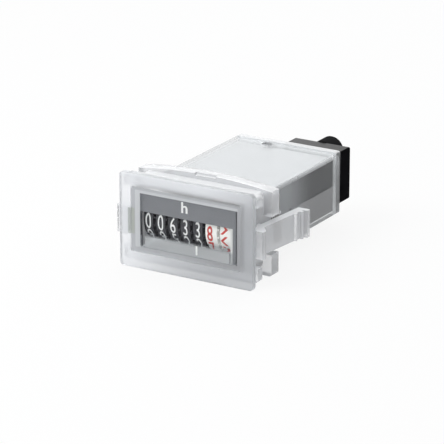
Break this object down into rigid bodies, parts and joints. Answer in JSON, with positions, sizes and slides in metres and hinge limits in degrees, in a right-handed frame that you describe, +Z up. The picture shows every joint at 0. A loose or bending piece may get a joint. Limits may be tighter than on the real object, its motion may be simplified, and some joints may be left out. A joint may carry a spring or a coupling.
{
  "type": "hour meter",
  "caption": "Panel hour meter: clear rectangular housing with bezel, number wheels behind a window, slide-on clamp frame with lever arms, rear terminal housing and cable sleeve.",
  "frame": {"origin": "middle of the bezel's back face, which lies on the panel", "axes": "+Y runs from the panel into the cabinet along the housing, +X to the right seen from the front, +Z up as the numbers are read"},
  "size_m": [0.043, 0.06, 0.0238],
  "materials": {
    "clear_plastic": "milky clear moulded plastic",
    "grey_mask": "printed grey",
    "white_plastic": "moulded white",
    "dark_plastic": "moulded dark grey",
    "black_plastic": "moulded black",
    "black_rubber": "moulded soft sleeve",
    "black_wheel": "moulded black",
    "white_wheel": "moulded white",
    "natural_gear": "moulded natural",
    "steel": "ground",
    "core_steel": "stamped",
    "magnet": "sintered",
    "copper": "enamelled copper wire",
    "board": "solder mask",
    "chip": "moulded black",
    "can": "drawn can",
    "capacitor_sleeve": "shrink sleeve",
    "brass_pins": "plain"
  },
  "bodies": {
    "meter": {"housing": "clear_plastic", "rear_cover": "clear_plastic", "dial_mask": "grey_mask", "movement_frame": "white_plastic", "gear_plate": "dark_plastic", "drum_axle": "steel", "carry_pin": "steel", "gear_pins": "steel", "stator": "core_steel", "coil_bobbin": "dark_plastic", "coil_winding": "copper", "circuit_board": "board", "timer_chip": "chip", "quartz": "can", "capacitor": "capacitor_sleeve", "terminal_pins": "brass_pins", "terminal_housing": "black_plastic", "cable_sleeve": "black_rubber"},
    "clamp_frame": {"clamp_frame": "clear_plastic"},
    "hour_wheel_1": {"hour_wheel_1": "black_wheel"},
    "hour_wheel_2": {"hour_wheel_2": "black_wheel"},
    "hour_wheel_3": {"hour_wheel_3": "black_wheel"},
    "hour_wheel_4": {"hour_wheel_4": "black_wheel"},
    "hour_wheel_5": {"hour_wheel_5": "black_wheel"},
    "tenths_wheel": {"tenths_wheel": "white_wheel"},
    "run_wheel": {"run_wheel": "white_wheel"},
    "carry_pinion_1": {"carry_pinion_1": "natural_gear"},
    "carry_pinion_2": {"carry_pinion_2": "natural_gear"},
    "carry_pinion_3": {"carry_pinion_3": "natural_gear"},
    "carry_pinion_4": {"carry_pinion_4": "natural_gear"},
    "carry_pinion_5": {"carry_pinion_5": "natural_gear"},
    "carry_pinion_6": {"carry_pinion_6": "natural_gear"},
    "second_gear": {"second_gear": "natural_gear"},
    "first_gear": {"first_gear": "natural_gear"},
    "rotor": {"rotor": "magnet"}
  },
  "joints": [
    {"name": "clamp_slide", "type": "slide", "parent": "meter", "child": "clamp_frame", "axis": [0, 1, 0], "range_m": [0, 0.016]},
    {"name": "rotor_spin", "type": "hinge", "parent": "meter", "child": "rotor", "pos_m": [0, 0.02451, 0.00002], "axis": [1, 0, 0], "continuous": true},
    {"name": "first_gear_spin", "type": "hinge", "parent": "meter", "child": "first_gear", "pos_m": [0, 0.01944, 0.00092], "axis": [1, 0, 0], "continuous": true},
    {"name": "second_gear_spin", "type": "hinge", "parent": "meter", "child": "second_gear", "pos_m": [0, 0.01443, 0.00208], "axis": [1, 0, 0], "continuous": true},
    {"name": "run_wheel_spin", "type": "hinge", "parent": "meter", "child": "run_wheel", "pos_m": [0, 0.0071, 0.00025], "axis": [1, 0, 0], "continuous": true},
    {"name": "hour_wheel_1_spin", "type": "hinge", "parent": "meter", "child": "hour_wheel_1", "pos_m": [0, 0.0071, 0.00025], "axis": [1, 0, 0], "continuous": true},
    {"name": "carry_pinion_1_spin", "type": "hinge", "parent": "meter", "child": "carry_pinion_1", "pos_m": [0, 0.01471, -0.0033], "axis": [1, 0, 0], "continuous": true},
    {"name": "hour_wheel_2_spin", "type": "hinge", "parent": "meter", "child": "hour_wheel_2", "pos_m": [0, 0.0071, 0.00025], "axis": [1, 0, 0], "continuous": true},
    {"name": "carry_pinion_2_spin", "type": "hinge", "parent": "meter", "child": "carry_pinion_2", "pos_m": [0, 0.01471, -0.0033], "axis": [1, 0, 0], "continuous": true},
    {"name": "hour_wheel_3_spin", "type": "hinge", "parent": "meter", "child": "hour_wheel_3", "pos_m": [0, 0.0071, 0.00025], "axis": [1, 0, 0], "continuous": true},
    {"name": "carry_pinion_3_spin", "type": "hinge", "parent": "meter", "child": "carry_pinion_3", "pos_m": [0, 0.01471, -0.0033], "axis": [1, 0, 0], "continuous": true},
    {"name": "hour_wheel_4_spin", "type": "hinge", "parent": "meter", "child": "hour_wheel_4", "pos_m": [0, 0.0071, 0.00025], "axis": [1, 0, 0], "continuous": true},
    {"name": "carry_pinion_4_spin", "type": "hinge", "parent": "meter", "child": "carry_pinion_4", "pos_m": [0, 0.01471, -0.0033], "axis": [1, 0, 0], "continuous": true},
    {"name": "hour_wheel_5_spin", "type": "hinge", "parent": "meter", "child": "hour_wheel_5", "pos_m": [0, 0.0071, 0.00025], "axis": [1, 0, 0], "continuous": true},
    {"name": "carry_pinion_5_spin", "type": "hinge", "parent": "meter", "child": "carry_pinion_5", "pos_m": [0, 0.01471, -0.0033], "axis": [1, 0, 0], "continuous": true},
    {"name": "tenths_wheel_spin", "type": "hinge", "parent": "meter", "child": "tenths_wheel", "pos_m": [0, 0.0071, 0.00025], "axis": [1, 0, 0], "continuous": true},
    {"name": "carry_pinion_6_spin", "type": "hinge", "parent": "meter", "child": "carry_pinion_6", "pos_m": [0, 0.01471, -0.0033], "axis": [1, 0, 0], "continuous": true}
  ],
  "couplings": [
    {"joint": "first_gear_spin", "follows": "rotor_spin", "ratio": -0.41667},
    {"joint": "second_gear_spin", "follows": "rotor_spin", "ratio": 0.17361},
    {"joint": "run_wheel_spin", "follows": "rotor_spin", "ratio": -0.043403},
    {"joint": "carry_pinion_1_spin", "follows": "hour_wheel_1_spin", "ratio": -2.5},
    {"joint": "carry_pinion_2_spin", "follows": "hour_wheel_2_spin", "ratio": -2.5},
    {"joint": "carry_pinion_3_spin", "follows": "hour_wheel_3_spin", "ratio": -2.5},
    {"joint": "carry_pinion_4_spin", "follows": "hour_wheel_4_spin", "ratio": -2.5},
    {"joint": "carry_pinion_5_spin", "follows": "hour_wheel_5_spin", "ratio": -2.5},
    {"joint": "carry_pinion_6_spin", "follows": "tenths_wheel_spin", "ratio": -2.5}
  ]
}
